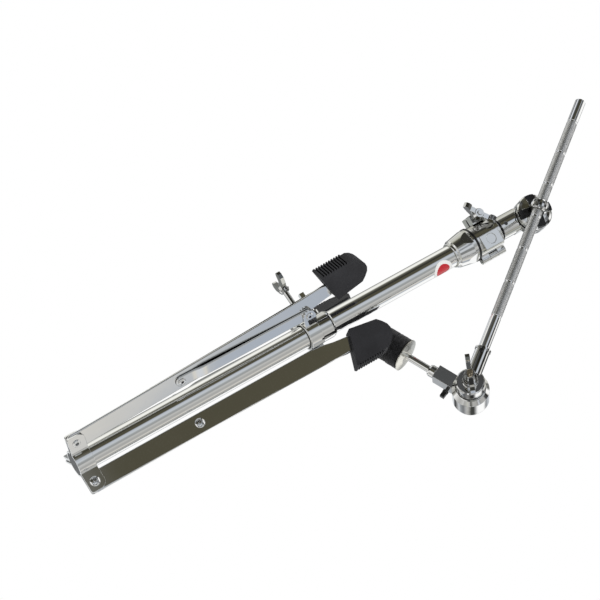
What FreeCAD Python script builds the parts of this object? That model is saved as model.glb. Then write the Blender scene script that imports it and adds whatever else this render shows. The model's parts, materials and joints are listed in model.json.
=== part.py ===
import FreeCAD, Part
import math
import os
import Sketcher

# Folding cymbal boom stand, modelled in its folded (stored) position.
# Frame: +Z runs up the base tube, with the origin on the tube axis in the plane of
# the base bracket's bottom edge. The front leg lies over +X, the left leg at -120
# degrees and the back leg at +120. Lengths are in mm, angles in degrees.

doc = FreeCAD.newDocument("cymbal_boom_stand")
sheet = doc.addObject("Spreadsheet::Sheet", "dims")

# Endings: _od/_id diameters, _rad radius, _ht height in the stand's frame,
# _off distance from a middle plane, _reach distance from an axis.
SIZES = {
    # base tube and bracket
    "base_tube_od": 25.4, "base_tube_id": 22.0, "base_tube_low": 1.2, "base_tube_top": 509.0,
    "bracket_height": 18.5, "bracket_wall": 1.9, "bracket_gap": 0.05, "bracket_reach": 36.6,
    "flange_off": 1.75, "plug_rad": 10.9, "plug_deep": 14.0,
    # legs
    "leg_pivot_rad": 27.0, "leg_pivot_ht": 8.5, "leg_wide": 21.5, "leg_thick": 3.0,
    "leg_hole_rad": 3.06, "sleeve_rad": 3.0, "sleeve_bore": 2.05, "screw_rad": 2.0,
    "head_rad": 5.4, "head_high": 2.3, "tail_rad": 4.2, "tail_high": 1.5,
    "leg_to_strut": 124.5, "strut_long": 156.5, "strut_wide": 12.6, "strut_thick": 2.4,
    "strut_off": 1.7, "ear_off": 4.4, "ear_thick": 2.2, "ear_rad": 29.5,
    "foot_wide": 17.0, "strip_end": 346.0,
    "splay_a": 0.0, "splay_b": 2.5, "splay_c": 1.0,
    # sliding leg collar
    "collar_low": 282.0, "collar_high": 315.5, "collar_rad": 15.6, "collar_bore": 13.9,
    "liner_bore": 12.76, "collar_pivot_ht": 289.5, "collar_bolt_ht": 293.5,
    "key_bolt_ht": 307.0,
    # height clamp
    "clamp_low": 481.5, "clamp_seam": 508.5, "clamp_mid": 511.0, "clamp_high": 546.0,
    "clamp_rad": 19.0, "hinge_reach": 22.0, "bolt_reach": 25.5, "bolt_ht": 529.5,
    # middle tube and boom tilter
    "mid_tube_od": 19.05, "mid_tube_id": 16.2, "mid_tube_low": 300.0, "mid_tube_top": 566.0,
    "socket_low": 549.0, "socket_high": 580.5, "socket_rad": 13.6,
    "tilt_ht": 592.6, "tilt_heading": -83.8, "tilt_lat": 4.8, "eye_off": 33.1,
    "disc_rad": 21.0, "boom_angle": 34.45, "boom_rad": 6.1, "boom_tip": -150.3,
    "boom_end": 208.3, "knurl_first": -118.5, "ring_pitch": 44.5,
    # cymbal tilter
    "ctilt_dist": 230.7, "ctilt_roll": 20.6, "ctilt_layer": 31.5, "ctilt_rad": 15.6,
    "cbase_rad": 20.4, "rod_lean": 13.7, "rod_rad": 3.9, "rod_len": 145.0,
    "felt_rad": 18.6, "felt_hole": 6.6, "sleeve_out": 6.2,
}

for row, (alias, size) in enumerate(SIZES.items(), 1):
    sheet.set("A%d" % row, alias.replace("_", " "))
    sheet.set("B%d" % row, repr(size))
    sheet.setAlias("B%d" % row, alias)
doc.recompute()


class Size:
    """A number together with its spreadsheet formula."""

    def __init__(self, value, formula):
        self.value = float(value)
        self.formula = formula

    def join(self, sign, other, value):
        formula = other.formula if isinstance(other, Size) else repr(float(other))
        return Size(value, "(%s %s %s)" % (self.formula, sign, formula))

    def __add__(self, other):
        return self.join("+", other, self.value + number(other))

    def __sub__(self, other):
        return self.join("-", other, self.value - number(other))

    def __mul__(self, other):
        return self.join("*", other, self.value * number(other))

    def __truediv__(self, other):
        return self.join("/", other, self.value / number(other))

    def __neg__(self):
        return Size(-self.value, "(0 - %s)" % self.formula)


def dim(alias):
    return Size(sheet.get(alias), "dims." + alias)


def number(size):
    return size.value if isinstance(size, Size) else float(size)


def bind(item, path, size):
    if isinstance(size, Size):
        item.setExpression(path, size.formula)


# ---- placements -------------------------------------------------------------
X_AXIS, Y_AXIS, Z_AXIS = (1, 0, 0), (0, 1, 0), (0, 0, 1)


def turn(axis, angle):
    return FreeCAD.Rotation(FreeCAD.Vector(*axis), number(angle))


def place(x=0, y=0, z=0, rotation=FreeCAD.Rotation()):
    return FreeCAD.Placement(FreeCAD.Vector(number(x), number(y), number(z)), rotation)


def heading(angle):
    """A turn about Z."""
    return place(rotation=turn(Z_AXIS, angle))


ORIGIN = place()
# where a piece's own Z axis points
ALONG_X = turn(Y_AXIS, 90)
ALONG_Y = turn(X_AXIS, -90)
AGAINST_Y = turn(X_AXIS, 90)


# ---- primitives and booleans ------------------------------------------------
def primitive(kind, placement, **sizes):
    solid = doc.addObject("Part::" + kind, kind.lower())
    for name, size in sizes.items():
        setattr(solid, name, number(size))
        bind(solid, name, size)
    solid.Placement = placement
    return solid


def cylinder(radius, height, placement=ORIGIN):
    return primitive("Cylinder", placement, Radius=radius, Height=height)


def cylinder_y(radius, length, x, y, z):
    """A cylinder running along +Y from (x, y, z)."""
    return cylinder(radius, length, place(x, y, z, ALONG_Y))


def box(length, width, height, placement=ORIGIN):
    return primitive("Box", placement, Length=length, Width=width, Height=height)


def cone(low_radius, high_radius, height, placement):
    return primitive("Cone", placement, Radius1=low_radius, Radius2=high_radius, Height=height)


def fuse(*parts):
    joined = doc.addObject("Part::MultiFuse", "fuse")
    joined.Shapes = list(parts)
    joined.Refine = True
    return joined


def pair(kind, base, tool):
    result = doc.addObject("Part::" + kind, kind.lower())
    result.Base = base
    result.Tool = tool
    return result


def cut(base, *tools):
    for tool in tools:
        base = pair("Cut", base, tool)
    return base


# ---- sketched bodies --------------------------------------------------------
def fix_point(outline, element, vertex, point):
    """Hold a sketch point at its coordinates, or on the sketch axis it lies on."""
    for kind, size, axis in (("DistanceX", point[0], -2), ("DistanceY", point[1], -1)):
        if abs(number(size)) < 1e-9:
            rule = Sketcher.Constraint("PointOnObject", element, vertex, axis)
            outline.addConstraint(rule)
        else:
            rule = Sketcher.Constraint(kind, -1, 1, element, vertex, number(size))
            bind(outline, "Constraints[%d]" % outline.addConstraint(rule), size)


def sketch(body, plane, points, offset, holes=()):
    """A closed outline with round holes (x, y, radius) on a plane of the body."""
    outline = body.newObject("Sketcher::SketchObject", "outline")
    support = next(item for item in body.Origin.OriginFeatures if item.Role == plane)
    outline.AttachmentSupport = [(support, "")]
    outline.MapMode = "FlatFace"
    outline.AttachmentOffset = place(z=offset)
    bind(outline, "AttachmentOffset.Base.z", offset)
    corners = [FreeCAD.Vector(number(x), number(y), 0) for x, y in points]
    total = len(corners)
    for i in range(total):
        outline.addGeometry(Part.LineSegment(corners[i], corners[(i + 1) % total]), False)
    for i in range(total):
        outline.addConstraint(Sketcher.Constraint("Coincident", i, 2, (i + 1) % total, 1))
    for i in range(total):
        fix_point(outline, i, 1, points[i])
    for x, y, radius in holes:
        centre = FreeCAD.Vector(number(x), number(y), 0)
        circle = Part.Circle(centre, FreeCAD.Vector(*Z_AXIS), number(radius))
        hole = outline.addGeometry(circle, False)
        fix_point(outline, hole, 3, (x, y))
        rule = Sketcher.Constraint("Radius", hole, number(radius))
        bind(outline, "Constraints[%d]" % outline.addConstraint(rule), radius)
    return outline


def padded(plane, points, offset, thickness, holes=(), placement=ORIGIN):
    body = doc.addObject("PartDesign::Body", "padded")
    outline = sketch(body, plane, points, offset, holes)
    pad = body.newObject("PartDesign::Pad", "pad")
    pad.Profile = outline
    pad.Length = number(thickness)
    bind(pad, "Length", thickness)
    body.Placement = placement
    return body


def plate(points, low_y, thickness, holes=(), placement=ORIGIN):
    """A flat piece outlined in XZ, from low_y to low_y + thickness."""
    return padded("XZ_Plane", points, -(low_y + thickness), thickness, holes, placement)


def turned(points, placement=ORIGIN):
    """A half profile of (radius, height) points spun about Z."""
    body = doc.addObject("PartDesign::Body", "turned")
    outline = sketch(body, "XZ_Plane", points, 0)
    spin = body.newObject("PartDesign::Revolution", "spin")
    spin.Profile = outline
    spin.ReferenceAxis = (outline, ["V_Axis"])
    spin.Angle = 360
    body.Placement = placement
    return body


def tube(inner, outer, low, high, placement=ORIGIN):
    return turned([(inner, low), (outer, low), (outer, high), (inner, high)], placement)


# ---- finished pieces and shared hardware ------------------------------------
PIECES = []


def piece(label, solid, placement=ORIGIN):
    solid.Label = label
    solid.Placement = placement
    PIECES.append(solid)


bolt_rad = 3.0
bolt_hole = 3.06
small_bolt_rad = 2.5
small_bolt_hole = 2.56
set_screw_rad = 2.0
set_screw_hole = 2.02


def wing_nut(hub_rad, hub_high, span, wing_high, wing_thick, tip_wide, bore):
    """A wing nut on local Z: a hub with two upswept wings along local X."""
    parts = [turned([(bore, 0.0), (hub_rad, 0.0), (hub_rad, hub_high * 0.55),
                     (hub_rad * 0.78, hub_high), (bore, hub_high)])]
    # one wing (x, z): out along the lower edge, back along the upper edge
    wing = [(hub_rad * 0.55, 1.0), (hub_rad * 0.95, 0.6), (span * 0.62, hub_high * 0.42),
            (span - tip_wide * 0.35, hub_high * 0.75), (span, wing_high * 0.72),
            (span - tip_wide * 0.18, wing_high * 0.94), (span - tip_wide * 0.6, wing_high),
            (span - tip_wide, wing_high * 0.9), (span * 0.58, hub_high * 0.98),
            (hub_rad * 0.55, hub_high * 0.95)]
    for side in (1.0, -1.0):
        parts.append(plate([(side * x, z) for x, z in wing], -wing_thick / 2, wing_thick))
    return cut(fuse(*parts), cylinder(bore, 60, place(z=-10)))


# =============================================================================
# Base: tube, end plug, three bracket segments, leg pivots
# =============================================================================
tube_outer = dim("base_tube_od") / 2
tube_inner = dim("base_tube_id") / 2
tube_low = dim("base_tube_low")
tube_top = dim("base_tube_top")
bracket_wall = dim("bracket_wall")
bracket_high = dim("bracket_height")
flange_off = dim("flange_off")
flange_face = flange_off + bracket_wall     # outer face of a flange
pivot_rad = dim("leg_pivot_rad")
pivot_ht = dim("leg_pivot_ht")
sleeve_rad = dim("sleeve_rad")
head_rad = dim("head_rad")
tail_rad = dim("tail_rad")
leg_spacing = 120.0

# name, heading, splay
LEGS = (("front", 0.0, dim("splay_a")),
        ("left", -leg_spacing, dim("splay_b")),
        ("back", leg_spacing, dim("splay_c")))


def end_plug():
    plug_rad, plug_deep = dim("plug_rad"), dim("plug_deep")
    bore, floor = 8.4, 3.2
    return turned([(0.0, 0.0), (tube_outer - 0.5, 0.0), (tube_outer, 0.5), (tube_outer, tube_low),
                   (plug_rad, tube_low), (plug_rad, plug_deep), (bore, plug_deep),
                   (bore, floor), (0.0, floor)])


def bracket_flange(angle, low_y):
    """A flange lying along one side of the leg at the given heading."""
    root = 13.2
    reach = dim("bracket_reach")
    outline = [(root, 0.0), (reach - 2.0, 0.0), (reach - 0.6, 0.6), (reach, 2.0),
               (reach, bracket_high - 7.0), (reach - 0.9, bracket_high - 4.0),
               (reach - 3.2, bracket_high - 1.4), (reach - 6.5, bracket_high),
               (root, bracket_high)]
    hole = (pivot_rad, pivot_ht, sleeve_rad + 0.02)
    return plate(outline, low_y, bracket_wall, [hole], heading(angle))


def bracket_segment():
    """Wraps the tube from heading 0 to the next leg, with a flange along each leg."""
    arc_inner = tube_outer + dim("bracket_gap")
    tool_high = bracket_high + 2
    ring = cut(cylinder(arc_inner + bracket_wall, bracket_high),
               cylinder(arc_inner, tool_high, place(z=-1)))
    far = 60.0
    sector = math.radians(leg_spacing)
    wedge = padded("XY_Plane", [(0.0, 0.0), (far, 0.0),
                                (far * math.cos(sector / 2) * 2, far * math.sin(sector / 2) * 2),
                                (far * math.cos(sector), far * math.sin(sector))],
                   -1.0, tool_high)
    segment = fuse(pair("Common", ring, wedge),
                   bracket_flange(0.0, flange_off),
                   bracket_flange(leg_spacing, -flange_face))
    # keep the leg slots and the tube's space open
    slots = [box(far, flange_off * 2, tool_high, heading(angle) * place(0, -flange_off, -1))
             for angle in (0.0, leg_spacing)]
    return cut(segment, *slots, cylinder(arc_inner, tool_high, place(z=-1)))


def screw_head(face):
    """Profile of a domed head that seats at height -face and rises towards -Z."""
    high = dim("head_high")
    return [(0.0, -(face + high)), (head_rad * 0.45, -(face + high)),
            (head_rad * 0.8, -(face + high * 0.72)), (head_rad, -(face + 0.35)),
            (head_rad, -face)]


def pivot_sleeve(placement):
    bore, tail_high = dim("sleeve_bore"), dim("tail_high")
    return turned([(bore, -flange_face), (sleeve_rad, -flange_face), (sleeve_rad, flange_face),
                   (tail_rad, flange_face), (tail_rad, flange_face + tail_high * 0.5),
                   (tail_rad - 0.8, flange_face + tail_high),
                   (bore, flange_face + tail_high)], placement)


def pivot_screw(placement):
    shank, end = dim("screw_rad"), flange_face - 0.5
    return turned(screw_head(flange_face) + [(shank, -flange_face), (shank, end), (0.0, end)],
                  placement)


piece("base_tube", tube(tube_inner, tube_outer, tube_low, tube_top))
piece("tube_end_plug", end_plug())
for name, angle, splay in LEGS:
    piece("base_bracket_" + name, bracket_segment(), heading(angle))
# both pivot parts run along local Z, with the head at -Z and the tail at +Z
pivots = [heading(angle) * place(pivot_rad, 0, pivot_ht, ALONG_Y) for name, angle, splay in LEGS]
piece("leg_pivot_sleeves", fuse(*[pivot_sleeve(pivot) for pivot in pivots]))
piece("leg_pivot_screws", fuse(*[pivot_screw(pivot) for pivot in pivots]))

# =============================================================================
# Legs: strip, foot, strut screw, strut
# =============================================================================
half_leg = dim("leg_wide") / 2
leg_thick = dim("leg_thick")
leg_face = leg_thick / 2
leg_to_strut = dim("leg_to_strut")
strip_end = dim("strip_end")
strut_off = dim("strut_off")
strut_thick = dim("strut_thick")
strut_top = strut_off + strut_thick
collar_pivot_ht = dim("collar_pivot_ht")
ear_rad = dim("ear_rad")

# Leg outlines in the leg's frame: x outward, z up the leg from its pivot.
STRIP = [
    (-half_leg + 3.0, -7.8), (half_leg - 3.0, -7.8), (half_leg - 0.8, -5.5),
    (half_leg, -2.0), (half_leg, 268.0), (half_leg + 1.0, 288.0),
    (half_leg + 2.4, 303.0), (half_leg + 1.2, 326.0), (6.0, strip_end - 4.0),
    (1.0, strip_end - 4.0), (-4.0, 318.0), (-half_leg + 4.6, 298.0),
    (-half_leg + 1.0, 282.0), (-half_leg, 268.0), (-half_leg, -2.0), (-half_leg + 0.8, -5.5),
]
FOOT_LOW = [(-8.6, 318.2), (31.0, 302.6), (32.4, 304.0)]
FOOT_HIGH = [(30.6, 344.6), (27.6, 350.0), (23.0, 354.6), (17.8, 358.0), (12.4, 359.6),
             (7.0, 358.8), (1.6, 355.4), (-3.4, 351.0)]


def foot_outline():
    """Foot outline with a ribbed tread up its outer side."""
    crest, root = 32.4, 30.4
    first_rib, rib_pitch, rib_count = 304.0, 3.25, 11
    tread = []
    for i in range(rib_count):
        z = first_rib + rib_pitch * i
        tread += [(crest, z + 0.25), (crest, z + 1.75), (root, z + 2.15), (root, z + 3.0)]
    # the first rib already starts at the last point of FOOT_LOW
    return FOOT_LOW + tread[1:] + FOOT_HIGH


def leg_foot():
    width = dim("foot_wide")
    return cut(plate(foot_outline(), -(width / 2), width), plate(STRIP, -leg_face, leg_thick))


def rolled_tail(top, gap, high):
    """Profile of a hollow rolled rivet tail over a face at height top."""
    hollow, floor = 1.6, top - 0.6
    return [(sleeve_rad, top + gap), (tail_rad, top + gap), (tail_rad, top + 0.7),
            (tail_rad - 0.8, top + high), (hollow, top + high), (hollow, floor), (0.0, floor)]


def strut_screw():
    """Head on the leg's bare face, rolled tail over the strut."""
    return turned(screw_head(leg_face) + [(sleeve_rad, -leg_face)]
                  + rolled_tail(strut_top, gap=0.05, high=1.3))


def strut():
    """A round-ended bar up local Z, with a hole at its lower end."""
    half = dim("strut_wide") / 2
    length = dim("strut_long")
    bar = fuse(box(dim("strut_wide"), strut_thick, length, place(-half, strut_off, 0)),
               cylinder_y(half, strut_thick, 0, strut_off, 0),
               cylinder_y(half, strut_thick, 0, strut_off, length))
    return cut(bar, cylinder_y(sleeve_rad + 0.06, strut_thick + 2, 0, strut_off - 1, 0))


def strut_frame(angle, splay):
    """Stands on the leg's strut hole and leans towards the collar ear."""
    tilt = math.radians(number(splay))
    x = number(pivot_rad) + number(leg_to_strut) * math.sin(tilt)
    z = number(pivot_ht) + number(leg_to_strut) * math.cos(tilt)
    lean = -math.degrees(math.atan2(x - number(ear_rad), number(collar_pivot_ht) - z))
    return heading(angle) * place(x, 0, z, turn(Y_AXIS, lean))


for name, angle, splay in LEGS:
    leg_frame = heading(angle) * place(pivot_rad, 0, pivot_ht, turn(Y_AXIS, splay))
    hole_rad = dim("leg_hole_rad")
    holes = [(0.0, 0.0, hole_rad), (0.0, leg_to_strut, hole_rad)]
    piece("leg_strip_" + name, plate(STRIP, -leg_face, leg_thick, holes), leg_frame)
    piece("leg_foot_" + name, leg_foot(), leg_frame)
    piece("strut_screw_" + name, strut_screw(), leg_frame * place(0, 0, leg_to_strut, ALONG_Y))
    piece("strut_" + name, strut(), strut_frame(angle, splay))

# =============================================================================
# Sliding leg collar; its two bolts point along -X
# =============================================================================
collar_low = dim("collar_low")
collar_high = dim("collar_high")
collar_rad = dim("collar_rad")
collar_bore = dim("collar_bore")
collar_bolt_ht = dim("collar_bolt_ht")
key_bolt_ht = dim("key_bolt_ht")
bolt_start = 13.0       # inner end of both bolts, from the stand's axis
ear_off = dim("ear_off")
ear_thick = dim("ear_thick")


def collar_side(reach, height):
    """Local Z pointing along -X, starting at reach from the stand's axis."""
    return heading(180) * place(reach, 0, height, ALONG_X)


def collar_bolt_holes():
    return (cylinder(bolt_hole, 20, collar_side(10.0, collar_bolt_ht)),
            cylinder(small_bolt_hole, 20, collar_side(10.0, key_bolt_ht)))


def leg_collar():
    boss_root = collar_bore - 1.0
    shell = turned([(collar_bore, collar_low), (collar_rad - 0.5, collar_low),
                    (collar_rad, collar_low + 0.6), (collar_rad, collar_high - 3.6),
                    (collar_rad - 0.5, collar_high - 1.6), (collar_rad - 1.1, collar_high - 0.5),
                    (collar_bore + 0.5, collar_high), (collar_bore, collar_high)])
    shell = fuse(shell,
                 cylinder(7.2, 8.5, collar_side(boss_root, collar_bolt_ht)),
                 cylinder(5.2, 6.8, collar_side(boss_root, key_bolt_ht)),
                 box(6.0, 8.0, 18.0, heading(180) * place(boss_root, -4.0, collar_low + 7.0)))
    bore = cylinder(collar_bore, collar_high - collar_low + 2, place(z=collar_low - 1))
    return cut(shell, bore, *collar_bolt_holes())


def collar_liner():
    liner = tube(dim("liner_bore"), collar_bore, collar_low + 0.8, collar_high - 0.8)
    return cut(liner, *collar_bolt_holes())


def ear_plates():
    """A ring around the collar's lower end with one ear per strut."""
    ring_low, ring_high = collar_pivot_ht - 7.0, 15.0
    ear_root = 14.4
    ears = []
    openings = []
    for name, angle, splay in LEGS:
        side = heading(angle)
        ears += [box(ear_rad - ear_root, ear_thick, ring_high,
                     side * place(ear_root, ear_off, ring_low)),
                 cylinder(7.0, ear_thick, side * place(ear_rad, ear_off, collar_pivot_ht, ALONG_Y))]
        # rivet hole, and a window where the leg lies beside the collar
        openings += [cylinder(sleeve_rad, 8,
                              side * place(ear_rad, ear_off - 2, collar_pivot_ht, ALONG_Y)),
                     box(30.0, 6.3, 40.0, side * place(collar_rad - 1.0, -2.1, collar_low - 5))]
    return cut(fuse(cylinder(collar_rad + 1.5, ring_high, place(z=ring_low)), *ears),
               cylinder(collar_rad + 0.02, 30, place(z=collar_low - 5)),
               *openings,
               cylinder(7.3, 20, collar_side(10.0, collar_bolt_ht)))


def ear_rivet(angle):
    profile = [(0.0, 0.0), (sleeve_rad, 0.0)] + rolled_tail(ear_thick, gap=0.0, high=1.4)
    return turned(profile, heading(angle) * place(ear_rad, ear_off, collar_pivot_ht, ALONG_Y))


# one wing of the collar's wing bolt: x across, z along the bolt
BOLT_WING = [(0.0, 46.0), (5.2, 45.2), (11.2, 47.0), (15.2, 52.6), (16.0, 57.6), (14.6, 61.2),
             (11.8, 61.8), (9.4, 59.6), (6.4, 54.0), (0.0, 52.0)]


def collar_wing_bolt():
    neck_low, neck_high, neck_rad, wing_thick = 41.6, 44.6, 5.0, 4.4
    shaft = fuse(cylinder(bolt_rad, 45.0), cylinder(neck_rad, 4.5, place(z=neck_high)),
                 cone(neck_rad, 6.4, neck_high - neck_low, place(z=neck_low)))
    wings = [plate([(side * x, z) for x, z in BOLT_WING], -wing_thick / 2, wing_thick)
             for side in (1.0, -1.0)]
    return fuse(shaft, *wings)


def collar_washer():
    return turned([(bolt_hole, 0.0), (7.4, 0.0), (7.4, 1.2), (6.0, 2.6), (bolt_hole, 2.6)])


def square_key_bolt(shank_rad, shank_long, flange_rad, flange_high, flange_low,
                    square, square_high, square_low):
    """A flanged, square-headed bolt along local Z."""
    return fuse(cylinder(shank_rad, shank_long),
                cylinder(flange_rad, flange_high, place(z=flange_low)),
                box(square, square, square_high, place(-square / 2, -square / 2, square_low)))


piece("leg_collar", leg_collar())
piece("collar_liner", collar_liner())
piece("collar_ear_plates", ear_plates())
piece("collar_ear_rivets", fuse(*[ear_rivet(angle) for name, angle, splay in LEGS]))
piece("collar_wing_bolt", collar_wing_bolt(),
      collar_side(bolt_start, collar_bolt_ht) * heading(90))
piece("collar_bolt_washer", collar_washer(), collar_side(collar_bore + 7.6, collar_bolt_ht))
piece("collar_key_bolt",
      square_key_bolt(small_bolt_rad, 26.0, flange_rad=4.4, flange_high=2.0, flange_low=20.0,
                      square=5.6, square_high=10.0, square_low=21.5),
      collar_side(bolt_start, key_bolt_ht))

# =============================================================================
# Height clamp. In its frame the gate faces -Y, the hinge is at +X, the bolt at -X.
# =============================================================================
clamp_low = dim("clamp_low")
clamp_seam = dim("clamp_seam")
clamp_mid = dim("clamp_mid")
clamp_high = dim("clamp_high")
clamp_rad = dim("clamp_rad")
hinge = dim("hinge_reach")
swing = dim("bolt_reach")
swing_ht = dim("bolt_ht")
mid_tube_rad = dim("mid_tube_od") / 2
clamp_bore = mid_tube_rad + 3.3
clamp_skirt = clamp_rad + 0.8       # widest radius of the cone
tube_clear = tube_outer + 0.02
gate_heading = -78.0
clamp_frame = heading(gate_heading + 90.0)
knuckle_rad = 4.3
lug_long, lug_high = 11.0, 16.0
lug_x, lug_low = -swing - 3.5, swing_ht - 8.0


def clamp_shell(inner, low):
    top = clamp_high - 0.4
    return turned([(inner, low), (clamp_rad, low), (clamp_rad, clamp_high - 2.4),
                   (clamp_rad - 2.6, top), (inner, top)])


def hinge_hole():
    return cylinder(1.78, 60, place(hinge, 0, clamp_mid - 5))


def clamp_casting():
    """Cone over the base tube, fixed half of the clamp, middle knuckle and bolt lug."""
    skirt = turned([(tube_clear, clamp_low), (13.9, clamp_low), (14.6, clamp_low + 0.8),
                    (14.8, clamp_low + 2.6), (16.6, clamp_low + 4.2),
                    (clamp_skirt, clamp_seam - 5.0), (clamp_skirt, clamp_seam),
                    (tube_clear, clamp_seam)])
    skirt = cut(skirt, cylinder(tube_clear, 60, place(z=clamp_low - 5)))
    rest_ring = tube(clamp_bore, tube_outer + 1.5, clamp_seam - 0.5, clamp_mid + 0.05)
    fixed_half = cut(clamp_shell(clamp_bore, clamp_mid),
                     box(80, 60, 60, place(-40, -59.0, clamp_mid - 5)))
    knuckle_low, knuckle_high = clamp_mid + 11.6, 11.0
    casting = fuse(skirt, rest_ring, fixed_half,
                   cylinder(knuckle_rad, knuckle_high, place(hinge, 0, knuckle_low)),
                   box(8.0, 4.8, knuckle_high, place(hinge - 8.0, -0.4, knuckle_low)),
                   box(lug_long, 8.0, lug_high, place(lug_x, 2.2, lug_low)))
    # room for the gate's two knuckles
    casting = cut(casting, cylinder(4.45, 10.8, place(hinge, 0, clamp_mid + 0.75)),
                  cylinder(4.45, 10.6, place(hinge, 0, clamp_mid + 22.75)))
    # four shallow flats around the cone
    flat_long, flat_wide, flat_high, flat_inset = 30.0, 20.0, 14.0, 0.95
    for i in range(4):
        flat = place(-flat_long / 2, -(clamp_rad + flat_wide - flat_inset), clamp_low + 10.5)
        casting = cut(casting, box(flat_long, flat_wide, flat_high,
                                   heading(65.0 + 90.0 * i) * flat))
    return cut(casting,
               cylinder(tube_clear, clamp_seam - clamp_low + 4.5, place(z=clamp_low - 5)),
               cylinder(clamp_bore, 90, place(z=clamp_seam - 20)),
               hinge_hole(),
               cylinder_y(small_bolt_hole, 12.1, -swing, 1.0, swing_ht))


def clamp_liner():
    bore, spigot, sleeve = mid_tube_rad + 0.05, tube_inner - 0.02, clamp_bore - 0.02
    low, lip_low, lip_high = clamp_seam - 18.0, clamp_high + 1.6, clamp_high + 3.0
    liner = turned([(bore, low), (spigot, low), (spigot, tube_top), (sleeve, tube_top),
                    (sleeve, lip_low), (clamp_bore + 1.2, lip_low),
                    (clamp_bore + 1.2, lip_high), (bore, lip_high)])
    return cut(liner, box(2.0, 20.0, 60.0, place(-1.0, -20.0, clamp_mid)))


def clamp_gate():
    """The -Y half of the shell, with two hinge knuckles and a slotted bolt lug."""
    gate_bore = clamp_bore + 0.12
    shell = pair("Common", clamp_shell(gate_bore, clamp_mid + 0.3),
                 box(80, 40, 60, place(-40, -41.2, clamp_mid - 5)))
    knuckle_high = 10.2
    knuckles = []
    for low in (clamp_mid + 1.0, clamp_mid + 23.0):
        knuckles += [cylinder(knuckle_rad, knuckle_high, place(hinge, 0, low)),
                     box(9.0, 4.2, knuckle_high, place(hinge - 9.0, -4.2, low))]
    lug = box(lug_long, 8.5, lug_high, place(lug_x, -9.7, lug_low))
    # raised flat pad with one slanted side and a round dish
    pad_y = -20.2
    pad = cut(box(17.0, 8.2, 25.0, place(-2.0, pad_y, clamp_mid + 3.5)),
              box(4.0, 20.0, 40.0, place(15.0, pad_y, clamp_mid - 2.0, turn(Z_AXIS, 35.0))),
              cylinder(6.0, 4.0, place(5.6, -19.4, clamp_mid + 16.0, AGAINST_Y)))
    return cut(fuse(shell, lug, pad, *knuckles),
               cylinder(gate_bore, 90, place(z=clamp_mid - 20)),
               cylinder(4.7, 11.7, place(hinge, 0, clamp_mid + 11.3)),
               hinge_hole(),
               box(9.2, 14.0, 6.6, place(-swing - 5.9, -12.0, swing_ht - 3.3)))


def hinge_pin():
    head = 2.6
    return fuse(cylinder(1.72, 32.4, place(z=-0.4)), cylinder(head, 0.7, place(z=-1.1)),
                cylinder(head, 0.8, place(z=31.9)))


def swing_bolt_at(y):
    return clamp_frame * place(-swing, y, swing_ht, AGAINST_Y)


piece("height_clamp_casting", clamp_casting(), clamp_frame)
piece("height_clamp_liner", clamp_liner(), clamp_frame)
piece("clamp_seam_ring", tube(tube_outer + 1.55, clamp_rad + 1.3, clamp_seam + 0.05,
                              clamp_mid - 0.25), clamp_frame)
piece("height_clamp_gate", clamp_gate(), clamp_frame)
piece("clamp_hinge_pin", hinge_pin(), clamp_frame * place(hinge, 0, clamp_mid + 1.4))
piece("clamp_swing_bolt", fuse(cylinder(small_bolt_rad, 37.0),
                               cylinder(4.6, 2.4, place(z=-2.4))), swing_bolt_at(12.65))
piece("clamp_washer", tube(2.62, 6.2, 0.0, 1.3), swing_bolt_at(-9.75))
piece("clamp_wing_nut",
      wing_nut(hub_rad=6.6, hub_high=11.5, span=20.5, wing_high=15.8, wing_thick=6.0,
               tip_wide=8.6, bore=small_bolt_hole),
      swing_bolt_at(-11.1) * heading(37.0))

# =============================================================================
# Middle tube and boom tilter. In tilt_frame +Y is the tilt axis, pointing to the
# boom side, +Z runs up the stand, and the stand's axis lies at x = tilt_lat.
# =============================================================================
tilt_ht = dim("tilt_ht")
tilt_lat = dim("tilt_lat")
tilt_heading = number(dim("tilt_heading"))
disc_rad = dim("disc_rad")
eye_off = dim("eye_off")
boom_rad = dim("boom_rad")
socket_screw_z = -36.5

tilt_angle = math.radians(tilt_heading)
tilt_axis = FreeCAD.Vector(math.cos(tilt_angle), math.sin(tilt_angle), 0)
across = FreeCAD.Vector(math.cos(tilt_angle + math.pi / 2), math.sin(tilt_angle + math.pi / 2), 0)
tilt_centre = FreeCAD.Vector(0, 0, number(tilt_ht)) + across * number(tilt_lat)
tilt_frame = FreeCAD.Placement(tilt_centre, turn(Z_AXIS, tilt_heading - 90.0))


def boom_placement():
    """Origin in the eye; x down the boom, y along the tilt axis."""
    angle = math.radians(number(dim("boom_angle")))
    along = across * math.sin(angle) - FreeCAD.Vector(0, 0, 1) * math.cos(angle)
    normal = along.cross(tilt_axis)
    eye = tilt_centre + tilt_axis * number(eye_off)
    return FreeCAD.Placement(FreeCAD.Matrix(along.x, tilt_axis.x, normal.x, eye.x,
                                            along.y, tilt_axis.y, normal.y, eye.y,
                                            along.z, tilt_axis.z, normal.z, eye.z,
                                            0, 0, 0, 1))


boom_frame = boom_placement()


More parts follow.
